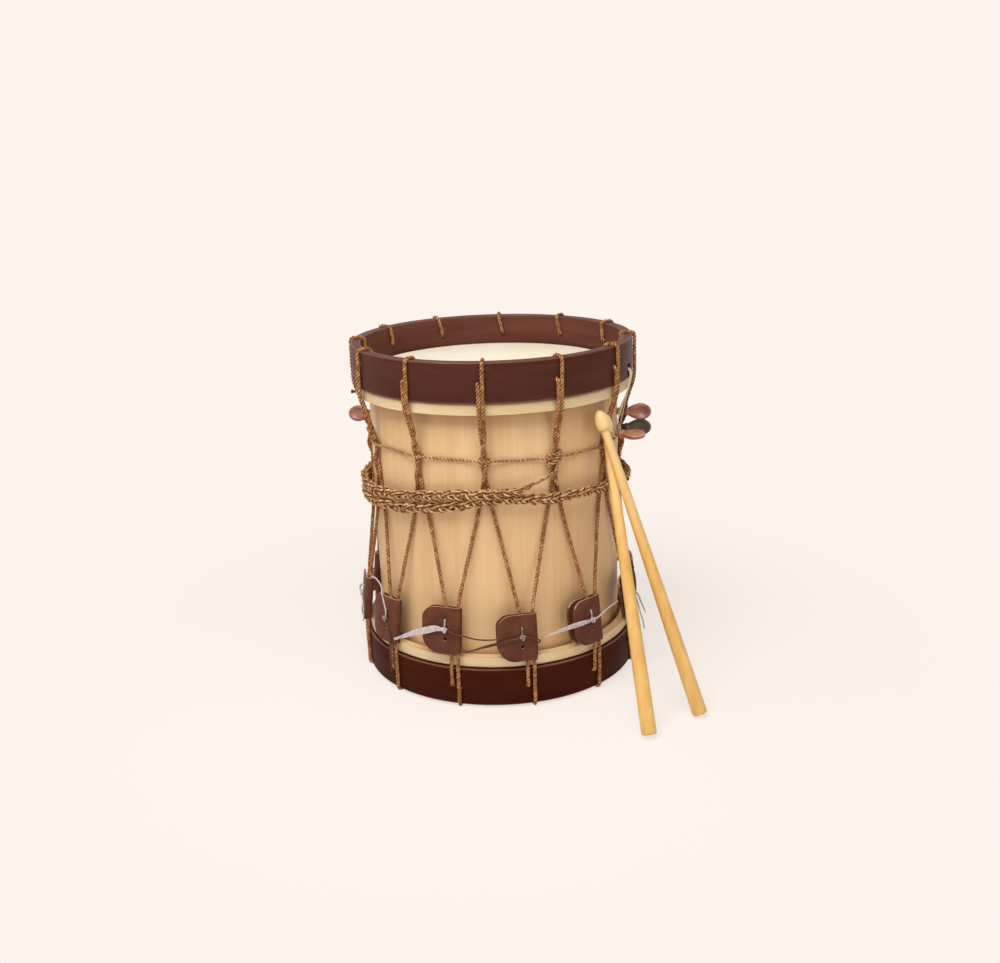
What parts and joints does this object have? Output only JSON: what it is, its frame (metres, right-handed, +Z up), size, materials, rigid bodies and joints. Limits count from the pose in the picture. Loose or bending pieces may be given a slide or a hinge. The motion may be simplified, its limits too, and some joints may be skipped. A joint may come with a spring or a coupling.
{
  "type": "renaissance drum",
  "caption": "Rope-tensioned cylindrical tabor with wooden counterhoops, skin heads, sliding leather tugs, a gut snare tuned by pegs, and wooden drum sticks leaning on it.",
  "frame": {"origin": "on the drum's axis, at the floor that the rope bends under the lower hoop stand on", "axes": "+Z up along the drum's axis, towards the batter head; -Y towards the front of the picture"},
  "size_m": [0.4393, 0.4678, 0.4341],
  "materials": {
    "shell": "satin varnished pale wood",
    "skin": "translucent calf skin",
    "flesh_hoop": "plain",
    "counterhoop": "satin dark stain",
    "rope": "twisted hemp",
    "belt": "plaited hemp",
    "girdle": "twisted hemp",
    "tug": "smooth brown leather",
    "lace": "suede",
    "gut": "translucent gut",
    "peg": "polished rosewood",
    "nail": "dark",
    "stick": "varnished honey wood"
  },
  "bodies": {
    "drum": {"shell": "shell", "batter_head": "skin", "lower_head": "skin", "upper_flesh_hoop": "flesh_hoop", "lower_flesh_hoop": "flesh_hoop", "upper_counterhoop": "counterhoop", "lower_counterhoop": "counterhoop", "tension_rope_01": "rope", "tension_rope_02": "rope", "tension_rope_03": "rope", "tension_rope_04": "rope", "tension_rope_05": "rope", "tension_rope_06": "rope", "tension_rope_07": "rope", "tension_rope_08": "rope", "tension_rope_09": "rope", "tension_rope_10": "rope", "tension_rope_11": "rope", "tension_rope_12": "rope", "waist_belt": "belt", "girdle_cord": "girdle", "girdle_knot": "girdle", "hitch_nail": "nail", "snare_string_1": "gut", "snare_string_2": "gut", "snare_string_3": "gut"},
    "tug_01_slider": {"tug_01": "tug", "tug_lace_01": "lace"},
    "tug_02_slider": {"tug_02": "tug", "tug_lace_02": "lace"},
    "tug_03_slider": {"tug_03": "tug", "tug_lace_03": "lace"},
    "tug_04_slider": {"tug_04": "tug", "tug_lace_04": "lace"},
    "tug_05_slider": {"tug_05": "tug", "tug_lace_05": "lace"},
    "tug_06_slider": {"tug_06": "tug", "tug_lace_06": "lace"},
    "tug_07_slider": {"tug_07": "tug", "tug_lace_07": "lace"},
    "tug_08_slider": {"tug_08": "tug", "tug_lace_08": "lace"},
    "tug_09_slider": {"tug_09": "tug", "tug_lace_09": "lace"},
    "tug_10_slider": {"tug_10": "tug", "tug_lace_10": "lace"},
    "tug_11_slider": {"tug_11": "tug", "tug_lace_11": "lace"},
    "tug_12_slider": {"tug_12": "tug", "tug_lace_12": "lace"},
    "snare_peg_right_1_turner": {"snare_peg_right_1": "peg"},
    "snare_peg_right_2_turner": {"snare_peg_right_2": "peg"},
    "snare_peg_right_3_turner": {"snare_peg_right_3": "peg"},
    "snare_peg_left_turner": {"snare_peg_left": "peg"},
    "sticks": {"drum_stick_1": "stick", "drum_stick_2": "stick"}
  },
  "joints": [
    {"name": "tug_01_slide", "type": "slide", "parent": "drum", "child": "tug_01_slider", "axis": [-0.0237, 0.1186, 0.9927], "range_m": [-0.006, 0.06], "deforming": ["tension_rope_01"]},
    {"name": "tug_02_slide", "type": "slide", "parent": "drum", "child": "tug_02_slider", "axis": [-0.0798, 0.0909, 0.9927], "range_m": [-0.006, 0.06], "deforming": ["tension_rope_02"]},
    {"name": "tug_03_slide", "type": "slide", "parent": "drum", "child": "tug_03_slider", "axis": [-0.1146, 0.0388, 0.9927], "range_m": [-0.006, 0.06], "deforming": ["tension_rope_03"]},
    {"name": "tug_04_slide", "type": "slide", "parent": "drum", "child": "tug_04_slider", "axis": [-0.1186, -0.0237, 0.9927], "range_m": [-0.006, 0.06], "deforming": ["tension_rope_04"]},
    {"name": "tug_05_slide", "type": "slide", "parent": "drum", "child": "tug_05_slider", "axis": [-0.0909, -0.0798, 0.9927], "range_m": [-0.006, 0.06], "deforming": ["tension_rope_05"]},
    {"name": "tug_06_slide", "type": "slide", "parent": "drum", "child": "tug_06_slider", "axis": [-0.0388, -0.1146, 0.9927], "range_m": [-0.006, 0.06], "deforming": ["tension_rope_06"]},
    {"name": "tug_07_slide", "type": "slide", "parent": "drum", "child": "tug_07_slider", "axis": [0.0237, -0.1186, 0.9927], "range_m": [-0.006, 0.06], "deforming": ["tension_rope_07"]},
    {"name": "tug_08_slide", "type": "slide", "parent": "drum", "child": "tug_08_slider", "axis": [0.0798, -0.0909, 0.9927], "range_m": [-0.006, 0.06], "deforming": ["tension_rope_08"]},
    {"name": "tug_09_slide", "type": "slide", "parent": "drum", "child": "tug_09_slider", "axis": [0.1146, -0.0388, 0.9927], "range_m": [-0.006, 0.06], "deforming": ["tension_rope_09"]},
    {"name": "tug_10_slide", "type": "slide", "parent": "drum", "child": "tug_10_slider", "axis": [0.1186, 0.0237, 0.9927], "range_m": [-0.006, 0.06], "deforming": ["tension_rope_10"]},
    {"name": "tug_11_slide", "type": "slide", "parent": "drum", "child": "tug_11_slider", "axis": [0.0909, 0.0798, 0.9927], "range_m": [-0.006, 0.06], "deforming": ["tension_rope_11"]},
    {"name": "tug_12_slide", "type": "slide", "parent": "drum", "child": "tug_12_slider", "axis": [0.0388, 0.1146, 0.9927], "range_m": [-0.006, 0.06], "deforming": ["tension_rope_12"]},
    {"name": "snare_peg_right_1_turn", "type": "hinge", "parent": "drum", "child": "snare_peg_right_1_turner", "pos_m": [0.15605, -0.02472, 0.3325], "axis": [0.9877, -0.1564, 0], "continuous": true},
    {"name": "snare_peg_right_2_turn", "type": "hinge", "parent": "drum", "child": "snare_peg_right_2_turner", "pos_m": [0.15626, -0.02335, 0.3118], "axis": [0.989, -0.1478, 0], "continuous": true},
    {"name": "snare_peg_right_3_turn", "type": "hinge", "parent": "drum", "child": "snare_peg_right_3_turner", "pos_m": [0.14544, -0.06174, 0.314], "axis": [0.9205, -0.3907, 0], "continuous": true},
    {"name": "snare_peg_left_turn", "type": "hinge", "parent": "drum", "child": "snare_peg_left_turner", "pos_m": [-0.15188, 0.04355, 0.323], "axis": [-0.9613, 0.2756, 0], "continuous": true},
    {"name": "sticks_draw", "type": "slide", "parent": "drum", "child": "sticks", "axis": [0.7314, -0.682, 0], "range_m": [0, 0.08]}
  ]
}
